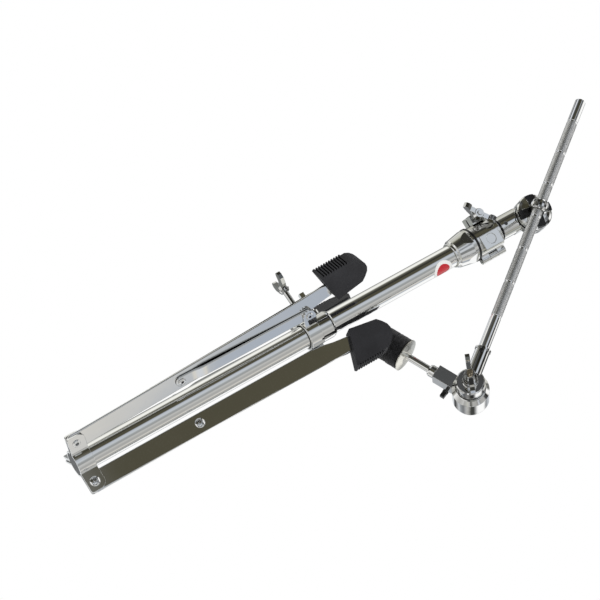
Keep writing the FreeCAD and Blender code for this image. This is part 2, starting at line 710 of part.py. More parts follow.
def tilter_socket():
    """Cup over the middle tube with the rear disc on its side."""
    low, high = dim("socket_low") - tilt_ht, dim("socket_high") - tilt_ht
    cup_rad = dim("socket_rad")
    cup = turned([(0.0, low), (cup_rad - 0.6, low), (cup_rad, low + 0.8),
                  (cup_rad, high - 2.0), (cup_rad - 2.2, high), (0.0, high)], place(tilt_lat))
    socket = fuse(cup,
                  cylinder_y(disc_rad, 8.0, 0, 1.5, 0),
                  cylinder_y(disc_rad - 5.0, 6.0, 0, -4.4, 0),
                  box(22.0, 9.8, 26.0, place(-9.0, -4.4, -26.0)))
    tube_hole = place(tilt_lat, 0, dim("mid_tube_top") - tilt_ht - 59.9)
    return cut(socket,
               cylinder(mid_tube_rad + 0.05, 60, tube_hole),
               cylinder_y(bolt_hole, 60, 0, -30, 0),
               cylinder_y(set_screw_hole, 20, tilt_lat, 5.0, socket_screw_z),
               # pad recess, space beyond the disc, flat face behind it
               cylinder_y(disc_rad - 4.5, 2.6, 0, 7.0, 0),
               cylinder_y(disc_rad + 0.8, 30, 0, 9.5, 0),
               box(60, 40, 60, place(-30, -44.4, -25.5)))


def cross_bars(length, depth, low_y, width):
    """Two crossed bars on the front disc, at 45 degrees to the boom."""
    return [box(length, depth, width, place(0, -eye_off, 0, turn(Y_AXIS, angle))
                * place(-length / 2, low_y, -width / 2)) for angle in (45.0, 135.0)]


saddle_bore = 8.4


def front_disc():
    disc = turned([(saddle_bore, 12.1), (disc_rad - 1.4, 12.1), (disc_rad, 13.5),
                   (disc_rad, 17.8), (disc_rad - 1.2, 19.8), (disc_rad - 4.0, 21.6),
                   (disc_rad - 8.0, 22.6), (saddle_bore, 23.0)], place(0, -eye_off, 0, ALONG_Y))
    return cut(disc, *cross_bars(length=44.0, depth=6.0, low_y=17.6, width=10.4))


def tilter_saddle():
    """Cross that fills the front disc's pocket."""
    cross = fuse(*cross_bars(length=40.0, depth=4.2, low_y=17.62, width=10.3))
    saddle = pair("Common", cross, cylinder_y(disc_rad - 1.0, 30, 0, -eye_off, 0))
    return cut(saddle, cylinder_y(saddle_bore, 60, 0, -eye_off - 20.0, 0))


def eye_bolt():
    """Eye around the boom, its stem running back through both discs."""
    bore = boom_rad + 0.06
    eye = turned([(bore, -6.5), (7.8, -6.5), (9.2, -5.4), (10.1, -3.4), (10.4, 0.0),
                  (10.1, 3.4), (9.2, 5.4), (7.8, 6.5), (bore, 6.5)], place(rotation=ALONG_X))
    bolt = fuse(eye, cylinder_y(8.2, 17.0, 0, -eye_off + 12.2, 0),
                cylinder_y(bolt_rad, 55.0, 0, -eye_off - 27.0, 0))
    return cut(bolt, cylinder(bore, 40, place(-20, 0, 0, ALONG_X)))


def boom_arm():
    """Solid rod with seven evenly spaced ring grooves."""
    tip, end = dim("boom_tip"), dim("boom_end")
    groove = boom_rad - 0.45
    profile = [(0.0, tip), (boom_rad - 0.9, tip), (boom_rad, tip + 0.9)]
    for i in range(7):
        middle = dim("knurl_first") + dim("ring_pitch") * i
        profile += [(boom_rad, middle - 1.2), (groove, middle - 0.8),
                    (groove, middle + 0.8), (boom_rad, middle + 1.2)]
    return turned(profile + [(boom_rad, end - 0.6), (boom_rad - 0.6, end), (0.0, end)])


piece("middle_tube", tube(dim("mid_tube_id") / 2, mid_tube_rad,
                          dim("mid_tube_low"), dim("mid_tube_top")))
piece("tilter_socket", tilter_socket(), tilt_frame)
piece("tilter_set_screw", cylinder(set_screw_rad, 4.2),
      tilt_frame * place(tilt_lat, mid_tube_rad + 0.1, socket_screw_z, ALONG_Y))
piece("tilter_brake_pad", cut(cylinder_y(disc_rad - 4.6, 4.9, 0, 7.05, 0),
                              cylinder_y(3.3, 60, 0, -30, 0)), tilt_frame)
piece("tilter_front_disc", front_disc(), boom_frame)
piece("tilter_saddle", tilter_saddle(), boom_frame)
piece("tilter_eye_bolt", eye_bolt(), boom_frame)
piece("tilter_washer", tube(3.1, 7.5, 0.0, 1.2), tilt_frame * place(0, -4.45, 0, AGAINST_Y))
piece("tilter_wing_nut",
      wing_nut(hub_rad=6.6, hub_high=12.0, span=22.0, wing_high=16.5, wing_thick=4.8,
               tip_wide=8.0, bore=bolt_hole),
      tilt_frame * place(0, -5.75, 0, AGAINST_Y) * heading(90.0))
piece("boom_arm", boom_arm(), boom_frame * place(rotation=ALONG_X))

# =============================================================================
# Cymbal tilter at the lower end of the boom. Both frames have the pivot along Y;
# in rod_frame local Z is the cymbal rod's direction.
# =============================================================================
upper_rad = dim("ctilt_rad")
lower_rad = dim("cbase_rad")
layer = dim("ctilt_layer")
rod_rad = dim("rod_rad")
boom_screw_x = -36.0
key_screw_z = 24.5
tilter_frame = boom_frame * place(dim("ctilt_dist"), 0, 0, turn(X_AXIS, dim("ctilt_roll")))
rod_frame = tilter_frame * place(0, -layer, 0, turn(Y_AXIS, -dim("rod_lean")))


def tilter_upper():
    """Drum with the boom socket."""
    bore = 3.2
    drum = turned([(bore, -10.0), (upper_rad - 0.4, -10.0), (upper_rad, -9.4),
                   (upper_rad, 2.0), (upper_rad - 1.2, 3.4), (8.6, 3.4), (7.9, 4.2),
                   (7.9, 9.2), (bore, 9.2)], place(rotation=ALONG_Y))
    mouth = place(-41.5, 0, 0, ALONG_X)
    return cut(fuse(drum, cylinder(8.3, 32.0, mouth), cylinder(9.0, 2.2, mouth)),
               cylinder(boom_rad + 0.04, 22.4, place(-43.0, 0, 0, ALONG_X)),
               cylinder_y(bore, 60, 0, -30, 0),
               cylinder_y(set_screw_hole, 20, boom_screw_x, 5.2, 0))


def tilter_lower():
    """Wider drum with the rod block."""
    top = layer - 12.7
    drum = turned([(bolt_hole, -15.5), (lower_rad - 4.4, -15.5), (lower_rad - 1.6, -13.4),
                   (lower_rad - 1.6, -10.2), (lower_rad - 2.3, -9.8), (lower_rad - 2.3, -9.1),
                   (lower_rad, -8.4), (lower_rad, top - 5.6), (upper_rad + 1.2, top - 0.8),
                   (upper_rad, top), (bolt_hole, top)], place(rotation=ALONG_Y))
    return cut(fuse(drum, box(16.0, 16.0, 30.8, place(-8.0, -8.0, 14.0))),
               cylinder_y(bolt_hole, 80, 0, -40, 0),
               cylinder(rod_rad + 0.02, 30.2, place(z=22.0)),
               cylinder(set_screw_hole, 20.0, place(3.0, 0, key_screw_z, ALONG_X)))


piece("cymbal_tilter_upper", tilter_upper(), tilter_frame)
piece("boom_end_set_screw", cylinder(set_screw_rad, 4.4),
      tilter_frame * place(boom_screw_x, boom_rad + 0.06, 0, ALONG_Y))
piece("cymbal_tilter_disc", tube(3.2, upper_rad - 0.8, -12.6, -10.04),
      tilter_frame * place(rotation=ALONG_Y))
piece("cymbal_tilter_lower", tilter_lower(), rod_frame)
piece("tilter_pivot_bolt", fuse(cylinder(bolt_rad, 75.0, place(z=-16.0)),
                                cylinder(6.5, 3.0, place(z=-19.0))),
      rod_frame * place(0, 0.4, 0, ALONG_Y))
piece("cymbal_tilter_wing_nut",
      wing_nut(hub_rad=6.8, hub_high=13.0, span=23.0, wing_high=16.5, wing_thick=5.0,
               tip_wide=8.5, bore=bolt_hole),
      tilter_frame * place(0, 10.8, 0, ALONG_Y) * heading(28.0))
piece("cymbal_tilter_washer", tube(3.1, 8.0, 0.0, 1.4),
      tilter_frame * place(0, 9.25, 0, ALONG_Y))
# clamps the rod in its block
piece("rod_key_screw",
      square_key_bolt(set_screw_rad, 12.0, flange_rad=3.4, flange_high=2.4, flange_low=7.4,
                      square=5.0, square_high=6.6, square_low=9.4),
      rod_frame * place(rod_rad + 0.06, 0, key_screw_z, ALONG_X))

# =============================================================================
# Cymbal rod and the pieces stacked on it: (radius, distance up the rod)
# =============================================================================
rod_len = dim("rod_len")
felt_rad = dim("felt_rad")
felt_hole = dim("felt_hole")
sleeve_out = dim("sleeve_out")
rod_clear = rod_rad + 0.05
collar_clear = rod_rad + 0.02

ROD_STACK = {
    "cymbal_rod": [(0.0, 22.3), (rod_rad - 0.4, 22.3), (rod_rad, 22.7),
                   (rod_rad, rod_len - 0.8), (rod_rad - 0.8, rod_len), (0.0, rod_len)],
    "rod_lock_collar": [(collar_clear, 45.1), (6.6, 45.1), (6.9, 45.6), (6.9, 51.6),
                        (6.2, 53.6), (collar_clear, 53.6)],
    "cymbal_seat_washer": [(rod_clear, 83.6), (9.0, 83.6), (felt_rad + 0.4, 85.2),
                           (felt_rad + 0.4, 86.4), (9.0, 85.1), (rod_clear, 85.1)],
    "rod_sleeve": [(rod_clear, 85.15), (8.8, 85.15), (8.8, 86.6), (sleeve_out, 86.6),
                   (sleeve_out, 123.0), (rod_clear, 123.0)],
    "felt_lower": [(felt_hole, 86.65), (felt_rad - 1.2, 86.65), (felt_rad, 88.0),
                   (felt_rad, 101.0), (felt_rad - 1.4, 102.4), (felt_hole, 102.4)],
    "felt_upper": [(felt_hole, 102.6), (felt_rad - 1.6, 102.6), (felt_rad - 0.2, 104.0),
                   (felt_rad - 0.2, 116.2), (felt_rad - 1.6, 117.6), (felt_hole, 117.6)],
}
for label, profile in ROD_STACK.items():
    piece(label, turned(profile), rod_frame)
piece("cymbal_wing_nut",
      wing_nut(hub_rad=6.8, hub_high=12.0, span=17.5, wing_high=15.5, wing_thick=4.6,
               tip_wide=7.0, bore=3.95),
      rod_frame * place(0, 0, 123.2))

# =============================================================================
doc.recompute()
failed = [(item.Name, item.State) for item in doc.Objects
          if "Invalid" in item.State or "Error" in item.State]
if failed:
    raise SystemExit("failed objects: %s" % failed)
for solid in PIECES:
    if solid.Shape.isNull() or not solid.Shape.isValid() or solid.Shape.Volume < 1.0:
        raise SystemExit("bad shape: %s" % solid.Label)
os.makedirs("parts", exist_ok=True)
for solid in PIECES:
    solid.Shape.exportStep("parts/%s.step" % solid.Label)
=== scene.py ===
"""Cymbal boom stand with three folding legs, in metres with +Z up.

The main tube stands on the Z axis. The front leg folds in the x-z plane; the left and
back legs are the same leg turned about Z. The boom and cymbal rod follow their joints.
"""
import bpy
import json
import math
from mathutils import Matrix, Vector
from mathutils.geometry import delaunay_2d_cdt


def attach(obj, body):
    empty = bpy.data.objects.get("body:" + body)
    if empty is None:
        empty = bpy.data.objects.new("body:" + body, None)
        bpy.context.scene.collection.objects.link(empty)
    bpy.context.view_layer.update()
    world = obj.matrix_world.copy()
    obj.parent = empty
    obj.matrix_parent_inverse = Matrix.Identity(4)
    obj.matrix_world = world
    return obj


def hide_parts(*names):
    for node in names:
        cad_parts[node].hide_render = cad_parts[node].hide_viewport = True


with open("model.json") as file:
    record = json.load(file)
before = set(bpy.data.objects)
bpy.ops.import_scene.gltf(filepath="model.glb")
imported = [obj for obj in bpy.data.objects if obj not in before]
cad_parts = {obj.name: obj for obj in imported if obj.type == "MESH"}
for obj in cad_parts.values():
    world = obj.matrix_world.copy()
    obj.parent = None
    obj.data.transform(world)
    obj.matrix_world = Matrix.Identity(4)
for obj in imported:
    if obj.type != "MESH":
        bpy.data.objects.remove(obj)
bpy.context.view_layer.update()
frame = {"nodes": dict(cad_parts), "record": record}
NODES = frame["nodes"]
BEHAVIOUR = frame["record"]["behaviour"]
BODY_OF = {node: body for body, nodes in BEHAVIOUR["bodies"].items() for node in nodes}
SLOT_OF = {part["node"]: part["material_slot"] for part in frame["record"]["subparts"]}
JOINTS = {joint["name"]: joint for joint in BEHAVIOUR["joints"]}

MM = 0.001
CAMERA_HEADING = -73.0  # degrees about Z from +X, seen from the stand
CAMERA_TILT = 20.5      # degrees the camera looks upward

# leg name, heading about Z, splay of its strip (degrees)
LEGS = (("front", 0.0, 0.0), ("left", -120.0, 2.5), ("back", 120.0, 1.0))


def joint_place(name):
    return Vector(JOINTS[name]["pos_m"])


def joint_axis(name):
    return Vector(JOINTS[name]["axis"]).normalized()


# ---------------------------------------------------------------- colours ---
def linear(rgb):
    """sRGB 0-255 triple to linear colour."""
    channels = []
    for value in rgb:
        value = value / 255.0
        if value <= 0.04045:
            channels.append(value / 12.92)
        else:
            channels.append(((value + 0.055) / 1.055) ** 2.4)
    return tuple(channels) + (1.0,)


def scaled(rgb, gain, lift=0):
    """Linear colour of an sRGB triple made lighter or darker."""
    return linear([min(255, value * gain + lift) for value in rgb])


def grey(value):
    return (value, value, value, 1.0)


# ------------------------------------------------------------ shader graph ---
class Graph:
    """Short ways to add shader nodes; each method returns the new node's output."""

    def __init__(self, tree):
        self.tree = tree
        tree.nodes.clear()
        self.coords = self.node("ShaderNodeTexCoord").outputs

    def node(self, kind, **settings):
        node = self.tree.nodes.new(kind)
        for key, value in settings.items():
            setattr(node, key, value)
        return node

    def feed(self, socket, value):
        """Link a socket, or store a plain value in it."""
        if isinstance(value, bpy.types.NodeSocket):
            self.tree.links.new(value, socket)
        else:
            socket.default_value = value

    def math(self, operation, *values):
        node = self.node("ShaderNodeMath", operation=operation)
        for socket, value in zip(node.inputs, values):
            self.feed(socket, value)
        return node.outputs[0]

    def noise(self, scale, detail, roughness=0.5, vector=None):
        node = self.node("ShaderNodeTexNoise")
        self.feed(node.inputs["Scale"], scale)
        self.feed(node.inputs["Detail"], detail)
        self.feed(node.inputs["Roughness"], roughness)
        self.feed(node.inputs["Vector"], vector or self.coords["Object"])
        return node.outputs["Fac"]

    def ramp(self, factor, stops):
        """Colour ramp from (position, colour) stops."""
        node = self.node("ShaderNodeValToRGB")
        elements = node.color_ramp.elements
        while len(elements) > 1:
            elements.remove(elements[-1])
        elements[0].position, elements[0].color = stops[0]
        for position, color in stops[1:]:
            elements.new(position).color = color
        self.feed(node.inputs[0], factor)
        return node.outputs[0]

    def grey_ramp(self, factor, *stops):
        return self.ramp(factor, [(position, grey(value)) for position, value in stops])

    def mix(self, factor, first, second, blend="MIX"):
        node = self.node("ShaderNodeMix", data_type="RGBA", blend_type=blend)
        self.feed(node.inputs["Factor"], factor)
        self.feed(node.inputs[6], first)
        self.feed(node.inputs[7], second)
        return node.outputs[2]

    def times(self, first, second):
        return self.mix(1.0, first, second, blend="MULTIPLY")

    def mix_shader(self, factor, first, second):
        node = self.node("ShaderNodeMixShader")
        for socket, value in zip(node.inputs, (factor, first, second)):
            self.feed(socket, value)
        return node.outputs[0]

    def bump(self, height, strength, distance, normal=None):
        node = self.node("ShaderNodeBump")
        self.feed(node.inputs["Strength"], strength)
        self.feed(node.inputs["Distance"], distance)
        self.feed(node.inputs["Height"], height)
        if normal is not None:
            self.feed(node.inputs["Normal"], normal)
        return node.outputs[0]

    def bevel(self, radius):
        node = self.node("ShaderNodeBevel", samples=4)
        self.feed(node.inputs["Radius"], radius)
        return node.outputs[0]

    def painted_crease_shade(self, samples, distance, *stops):
        """Painted shade: grey from ambient occlusion that darkens in creases between pieces."""
        node = self.node("ShaderNodeAmbientOcclusion", samples=samples)
        self.feed(node.inputs["Distance"], distance)
        return self.grey_ramp(node.outputs["AO"], *stops)

    def distances(self, origin, *axes):
        """Distances along unit vectors from an origin, in object space."""
        offset = self.node("ShaderNodeVectorMath", operation="SUBTRACT")
        self.feed(offset.inputs[0], self.coords["Object"])
        self.feed(offset.inputs[1], origin)
        results = []
        for axis in axes:
            dot = self.node("ShaderNodeVectorMath", operation="DOT_PRODUCT")
            self.feed(dot.inputs[0], offset.outputs[0])
            self.feed(dot.inputs[1], axis)
            results.append(dot.outputs["Value"])
        return results


class Material(Graph):
    """A material whose graph ends in one Principled shader."""

    def __init__(self, name):
        self.material = bpy.data.materials.new(name)
        self.material.use_nodes = True
        super().__init__(self.material.node_tree)
        self.output = self.node("ShaderNodeOutputMaterial")
        self.principled = self.node("ShaderNodeBsdfPrincipled")
        self.feed(self.output.inputs[0], self.principled.outputs[0])

    def shade(self, inputs):
        for name, value in inputs.items():
            self.feed(self.principled.inputs[name], value)
        return self.material


# -------------------------------------------------------------- materials ---
def chrome(name, tint=(0.90, 0.90, 0.89), rough=(0.025, 0.07), edge=0.0005, wave=0.0,
           painted_reflection_depth=0.0):
    """Plated metal: edge is the bevel radius, wave the surface ripple; creases get painted shade,
    and a painted dark reflection can be added.
    """
    m = Material(name)
    fine = m.noise(scale=900.0, detail=5.0, roughness=0.6)
    broad = m.noise(scale=26.0, detail=3.0)
    roughness = m.grey_ramp(m.math("MULTIPLY", fine, broad), (0.15, rough[0]), (0.45, rough[1]))
    dull = tuple(value * 0.965 for value in tint)
    color = m.ramp(broad, [(0.3, dull + (1,)), (0.7, tint + (1,))])
    # painted shade: the plating is darkened in creases between pieces
    color = m.times(color, m.painted_crease_shade(6, 0.0035, (0.12, 0.10), (0.62, 1.0)))
    if painted_reflection_depth:
        # painted reflection: patchy dark surround painted into the colour of strongly curved
        # pieces, following the reflection direction
        reflection_spots = m.noise(scale=1.55, detail=2.0, roughness=0.45, vector=m.coords["Reflection"])
        low = 1.0 - painted_reflection_depth
        color = m.times(color, m.ramp(reflection_spots, [
            (0.40, (low, low, low * 0.92, 1)), (0.455, grey(low * 1.1)), (0.50, grey(1.0))]))
    normal = m.bevel(edge) if edge else None
    if wave:
        ripple = m.noise(scale=55.0, detail=2.0, roughness=0.4)
        normal = m.bump(ripple, strength=wave, distance=0.0006, normal=normal)
    return m.shade({
        "Base Color": color,
        "Roughness": roughness,
        "Metallic": 1.0,
        "Normal": m.bump(fine, strength=0.02, distance=0.00003, normal=normal),
    })


def rubber(name, base=(42, 42, 45)):
    m = Material(name)
    grain = m.noise(scale=1500.0, detail=3.0, roughness=0.7)
    broad = m.noise(scale=40.0, detail=3.0)
    # painted shade: the rubber is darker in its grooves and creases
    painted_groove_shade = m.painted_crease_shade(8, 0.004, (0.30, 0.08), (0.72, 0.85), (0.95, 1.0))
    color = m.ramp(broad, [(0.3, scaled(base, 0.9)), (0.7, scaled(base, 1.12))])
    return m.shade({
        "Base Color": m.times(color, painted_groove_shade),
        "Roughness": m.grey_ramp(grain, (0.3, 0.5), (0.7, 0.7)),
        "Specular IOR Level": 0.32,
        "Normal": m.bump(grain, strength=0.35, distance=0.0002, normal=m.bevel(0.0002)),
    })


def plastic(name, base):
    m = Material(name)
    grain = m.noise(scale=1100.0, detail=2.0, roughness=0.6)
    broad = m.noise(scale=60.0, detail=3.0)
    return m.shade({
        "Base Color": m.ramp(broad, [(0.3, scaled(base, 0.85)), (0.7, scaled(base, 1.2, lift=1))]),
        "Roughness": m.grey_ramp(grain, (0.3, 0.28), (0.7, 0.45)),
        "Normal": m.bump(grain, strength=0.12, distance=0.0001, normal=m.bevel(0.0004)),
    })


def felt(name, base=(20, 20, 21)):
    m = Material(name)
    fibre = m.noise(scale=1400.0, detail=8.0, roughness=0.75)
    tuft = m.noise(scale=260.0, detail=4.0, roughness=0.6)
    nap = m.math("ADD", m.math("MULTIPLY", fibre, 0.65), m.math("MULTIPLY", tuft, 0.35))
    return m.shade({
        "Base Color": m.ramp(nap, [
            (0.36, scaled(base, 0.35)), (0.5, linear(base)), (0.66, scaled(base, 3.1))]),
        "Roughness": 0.95,
        "Specular IOR Level": 0.12,
        "Sheen Weight": 0.25,
        "Sheen Roughness": 0.5,
        "Normal": m.bump(nap, strength=0.9, distance=0.0008),
    })


# knurling of the boom rod, measured along the boom from its centre line point
KNURL_OFFSET = 0.0331          # from the tilt joint along the tilt axis to the rod
KNURL_PITCH = 0.00125
KNURL_TEETH = 30.0             # around the rod
KNURL_START, KNURL_END = -0.1195, 0.149
GROOVE_START, GROOVE_PITCH, GROOVE_COUNT = -0.1185, 0.0445, 7
GROOVE_HALF_WIDTH = 0.0017


def knurled(name):
    """Diamond knurl, left smooth beyond both ends and in evenly spaced ring grooves."""
    m = Material(name)
    boom = joint_axis("boom_slide")
    tilt = joint_axis("boom_tilt")
    centre = joint_place("boom_tilt") + tilt * KNURL_OFFSET
    x, y, z = m.distances(centre, boom, tilt, boom.cross(tilt))
    around = m.math("MULTIPLY", m.math("ARCTAN2", z, y), KNURL_TEETH)
    along = m.math("MULTIPLY", x, 2 * math.pi / KNURL_PITCH)
    right_hand = m.math("SINE", m.math("ADD", around, along))
    left_hand = m.math("SINE", m.math("SUBTRACT", around, along))
    diamond = m.math("MULTIPLY", right_hand, left_hand)

    cut = m.math("MULTIPLY", m.math("GREATER_THAN", x, KNURL_START),
                 m.math("LESS_THAN", x, KNURL_END))
    for i in range(GROOVE_COUNT):
        groove = GROOVE_START + GROOVE_PITCH * i
        distance = m.math("ABSOLUTE", m.math("SUBTRACT", x, groove))
        cut = m.math("MULTIPLY", cut, m.math("GREATER_THAN", distance, GROOVE_HALF_WIDTH))
    fine = m.noise(scale=1200.0, detail=4.0, roughness=0.6)
    height = m.math("MULTIPLY", diamond, cut)
    roughness = m.math("ADD", m.math("MULTIPLY", cut, 0.15), m.math("MULTIPLY", fine, 0.08))

    # painted shade: the valleys between diamonds are darker than the smooth steel's 0.86
    valley = m.math("MULTIPLY", m.math("SUBTRACT", 1.0, m.math("ABSOLUTE", diamond)), 0.5)
    painted_valley_shade = m.math("MULTIPLY", m.math("MULTIPLY", valley, cut), 0.62)
    shade = m.math("SUBTRACT", 0.86, painted_valley_shade)
    color = m.node("ShaderNodeCombineColor")
    for i in range(3):
        m.feed(color.inputs[i], shade)
    return m.shade({
        "Base Color": color.outputs[0],
        "Roughness": roughness,
        "Metallic": 1.0,
        "Normal": m.bump(height, strength=0.45, distance=0.00014, normal=m.bevel(0.0004)),
    })


MATERIALS = {
    "chrome": chrome("chrome_plate"),
    "strip": chrome("chrome_strip", edge=0.0, wave=0.03),
    # cast pieces carry a painted dark reflection, lighter on the soft set and stronger on the
    # other
    "cast_soft": chrome("chrome_cast_soft", edge=0.0009, rough=(0.03, 0.08), wave=0.25,
                        painted_reflection_depth=0.42),
    "cast": chrome("chrome_cast", edge=0.0009, rough=(0.03, 0.1), wave=0.35, painted_reflection_depth=0.78),
    "satin_steel": knurled("knurled_rod"),
    "foot_rubber": rubber("foot_rubber"),
    "black_plastic": plastic("black_nylon", base=(16, 16, 17)),
    "sleeve_plastic": plastic("sleeve_plastic", base=(22, 22, 22)),
    "felt": felt("black_felt"),
    "dark_screw": chrome("black_oxide", tint=(0.12, 0.12, 0.12), rough=(0.25, 0.42)),
    "nickel": chrome("warm_nickel", tint=(0.86, 0.84, 0.76), rough=(0.22, 0.34)),
    "brass_plate": chrome("yellow_zinc", tint=(0.86, 0.72, 0.52), rough=(0.12, 0.25)),
}
SOFT_CAST_NODES = {
    "height_clamp_casting", "height_clamp_gate", "tilter_socket", "leg_collar",
    "tilter_front_disc", "cymbal_tilter_lower",
}
CAST_NODES = {
    "clamp_wing_nut", "tilter_wing_nut", "collar_wing_bolt", "cymbal_tilter_wing_nut",
    "cymbal_wing_nut", "tilter_eye_bolt", "cymbal_tilter_upper", "clamp_hinge_pin",
}


def use_material(piece, material):
    piece.data.materials.clear()
    piece.data.materials.append(material)


for node_name, node_piece in NODES.items():
    if node_name in SOFT_CAST_NODES:
        look = "cast_soft"
    elif node_name in CAST_NODES:
        look = "cast"
    else:
        look = SLOT_OF[node_name]
    use_material(node_piece, MATERIALS[look])


# ------------------------------------------------------------- mesh tools ---
def add_object(name, mesh, material):
    piece = bpy.data.objects.new(name, mesh)
    bpy.context.scene.collection.objects.link(piece)
    use_material(piece, material)
    return piece


def add_smooth(name, verts, faces, material, sharp_angle):
    """Smooth-shaded object with edges sharp above an angle in degrees."""
    mesh = bpy.data.meshes.new(name)
    mesh.from_pydata([tuple(vert) for vert in verts], [], faces)
    mesh.validate()
    mesh.update()
    for polygon in mesh.polygons:
        polygon.use_smooth = True
    mesh.set_sharp_from_angle(angle=math.radians(sharp_angle))
    return add_object(name, mesh, material)


def lathe(profile, origin, axis, segments, nudge):
    """Closed ring profile (r, z) spun about an axis; nudge(angle, i, r, z) moves a point."""
    forward = Vector(axis).normalized()
    hint = Vector((0, 0, 1)) if abs(forward.z) < 0.9 else Vector((1, 0, 0))
    across = (hint - forward * hint.dot(forward)).normalized()
    third = forward.cross(across)
    verts, faces = [], []
    count = len(profile)
    for s in range(segments):
        angle = 2 * math.pi * s / segments
        for i, (r, z) in enumerate(profile):
            r, z = nudge(angle, i, r, z)
            outward = across * math.cos(angle) + third * math.sin(angle)
            verts.append(origin + outward * r + forward * z)
    for s in range(segments):
        t = (s + 1) % segments
        for i in range(count):
            j = (i + 1) % count
            faces.append((s * count + i, t * count + i, t * count + j, s * count + j))
    return verts, faces


def stand_in(piece, node):
    """Let a piece ride and replace one CAD node."""
    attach(piece, BODY_OF[node])
    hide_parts(node)


def clamp(value):
    return max(0.0, min(1.0, value))


# ------------------------------------------------------------------ felts ---
FELT_FACE_INSET = 0.0002
FELT_RIM_INSET = 0.00015
FELT_CORNER_INSET = 0.0014     # from the rim to where the corner begins
FELT_CORNER_WIDTH = 0.0012
FELT_CORNER_HEIGHT = 0.0013
FELT_SIDE_START = 0.0016       # from each end to the straight side
FELT_BORE_ZONE = 0.0004        # next to the bore the felt stays smooth

ROD_AXIS = joint_axis("cymbal_wing_nut_turn")
ROD_ORIGIN = joint_place("cymbal_wing_nut_turn")


def rod_extent(node):
    """Extent of a node along the rod, then its smallest and largest radius."""
    stations, radii = [], []
    for vert in NODES[node].data.vertices:
        offset = vert.co - ROD_ORIGIN
        station = offset.dot(ROD_AXIS)
        stations.append(station)
        radii.append((offset - ROD_AXIS * station).length)
    return min(stations), max(stations), min(radii), max(radii)


def felt_profile(low, high, inner, outer):
    corner = outer - FELT_CORNER_INSET
    bottom, top = low + FELT_FACE_INSET, high - FELT_FACE_INSET

    def rounding(start, height):
        angles = [start + math.pi / 2 * i / 6 for i in range(1, 6)]
        return [(corner + FELT_CORNER_WIDTH * math.cos(angle),
                 height + FELT_CORNER_HEIGHT * math.sin(angle)) for angle in angles]

    points = [(inner + (corner - inner) * i / 9, bottom) for i in range(10)]
    points += rounding(-math.pi / 2, bottom + FELT_CORNER_HEIGHT)
    side = high - low - 2 * FELT_SIDE_START
    points += [(outer - FELT_RIM_INSET, low + FELT_SIDE_START + side * i / 8) for i in range(9)]
    points += rounding(0.0, top - FELT_CORNER_HEIGHT)
    points += [(corner + (inner - corner) * i / 9, top) for i in range(10)]
    points += [(inner, top - (top - bottom) * i / 5) for i in range(1, 5)]
    return points


def scatter(x, y, z):
    """Repeatable value from -0.5 to 0.5."""
    value = math.sin(x * 12.9898 + y * 78.233 + z * 37.719) * 43758.5453
    return value - math.floor(value) - 0.5


def build_felt(node, seed):
    low, high, inner, outer = rod_extent(node)

    def fuzz(angle, i, r, z):
        if r < inner + FELT_BORE_ZONE:
            return r, z
        sector = round(angle * 40)
        wave = (math.sin(angle * 3 + seed) * 0.00012
                + math.sin(angle * 7 + z * 900 + seed) * 0.00010)
        grain = scatter(sector, i, seed) * 0.00016
        return min(outer, r + wave + grain), z + scatter(i, sector, seed) * 0.00012

    verts, faces = lathe(felt_profile(low, high, inner, outer), ROD_ORIGIN, ROD_AXIS,
                         segments=120, nudge=fuzz)
    pad = add_smooth("pressed_" + node, verts, faces, MATERIALS["felt"], sharp_angle=70.0)
    stand_in(pad, node)


build_felt("felt_lower", seed=0.0)
build_felt("felt_upper", seed=3.0)


# ------------------------------------- flat strips and struts, sizes in mm ---
ROLL_STEPS = 6                 # across each quarter-round edge
HOLE_SEGMENTS = 28
HOLE_RADIUS = 3.06
HOLE_MARGIN = 1.2              # no inner mesh points closer to a hole than this


def inset_outline(outline, distance):
    """Anticlockwise outline moved inward, with sharp corners held back."""
    moved = []
    for i, here in enumerate(outline):
        before, after = outline[i - 1], outline[(i + 1) % len(outline)]
        arriving = Vector((here[0] - before[0], here[1] - before[1])).normalized()
        leaving = Vector((after[0] - here[0], after[1] - here[1])).normalized()
        side = Vector((-arriving.y, arriving.x))
        inward = side + Vector((-leaving.y, leaving.x))
        inward.normalize()
        slant = max(0.4, inward.dot(side))
        moved.append((here[0] + inward.x * distance / slant,
                      here[1] + inward.y * distance / slant))
    return moved


def triangulate(outline, holes, inner_points):
    """Flat face with holes: points, triangles, and output index of each input point."""
    count = len(outline)
    points = [Vector(point) for point in outline]
    edges = [(i, (i + 1) % count) for i in range(count)]
    hole_starts = []
    for hole_x, hole_z, radius in holes:
        start = len(points)
        for j in range(HOLE_SEGMENTS):
            angle = 2 * math.pi * j / HOLE_SEGMENTS
            points.append(Vector((hole_x + radius * math.cos(angle),
                                  hole_z + radius * math.sin(angle))))
        edges += [(start + j, start + (j + 1) % HOLE_SEGMENTS) for j in range(HOLE_SEGMENTS)]
        hole_starts.append(start)
    for x, z in inner_points:
        if all(math.hypot(x - hole[0], z - hole[1]) > hole[2] + HOLE_MARGIN for hole in holes):
            points.append(Vector((x, z)))
    flat, _, cells, sources, _, _ = delaunay_2d_cdt(points, edges, [], 1, 1e-5, True)
    index_of = {source: i for i, group in enumerate(sources) for source in group}
    triangles = []
    for cell in cells:
        centre = sum((Vector(flat[i]) for i in cell), Vector((0.0, 0.0))) / len(cell)
        if any(math.hypot(centre.x - hole[0], centre.y - hole[1]) < hole[2] * 0.985
               for hole in holes):
            continue
        corners = [flat[i] for i in cell]
        area = sum(p[0] * q[1] - q[0] * p[1] for p, q in zip(corners, corners[1:] + corners[:1]))
        triangles.append(tuple(cell) if area > 0 else tuple(cell[::-1]))
    return flat, triangles, index_of, hole_starts


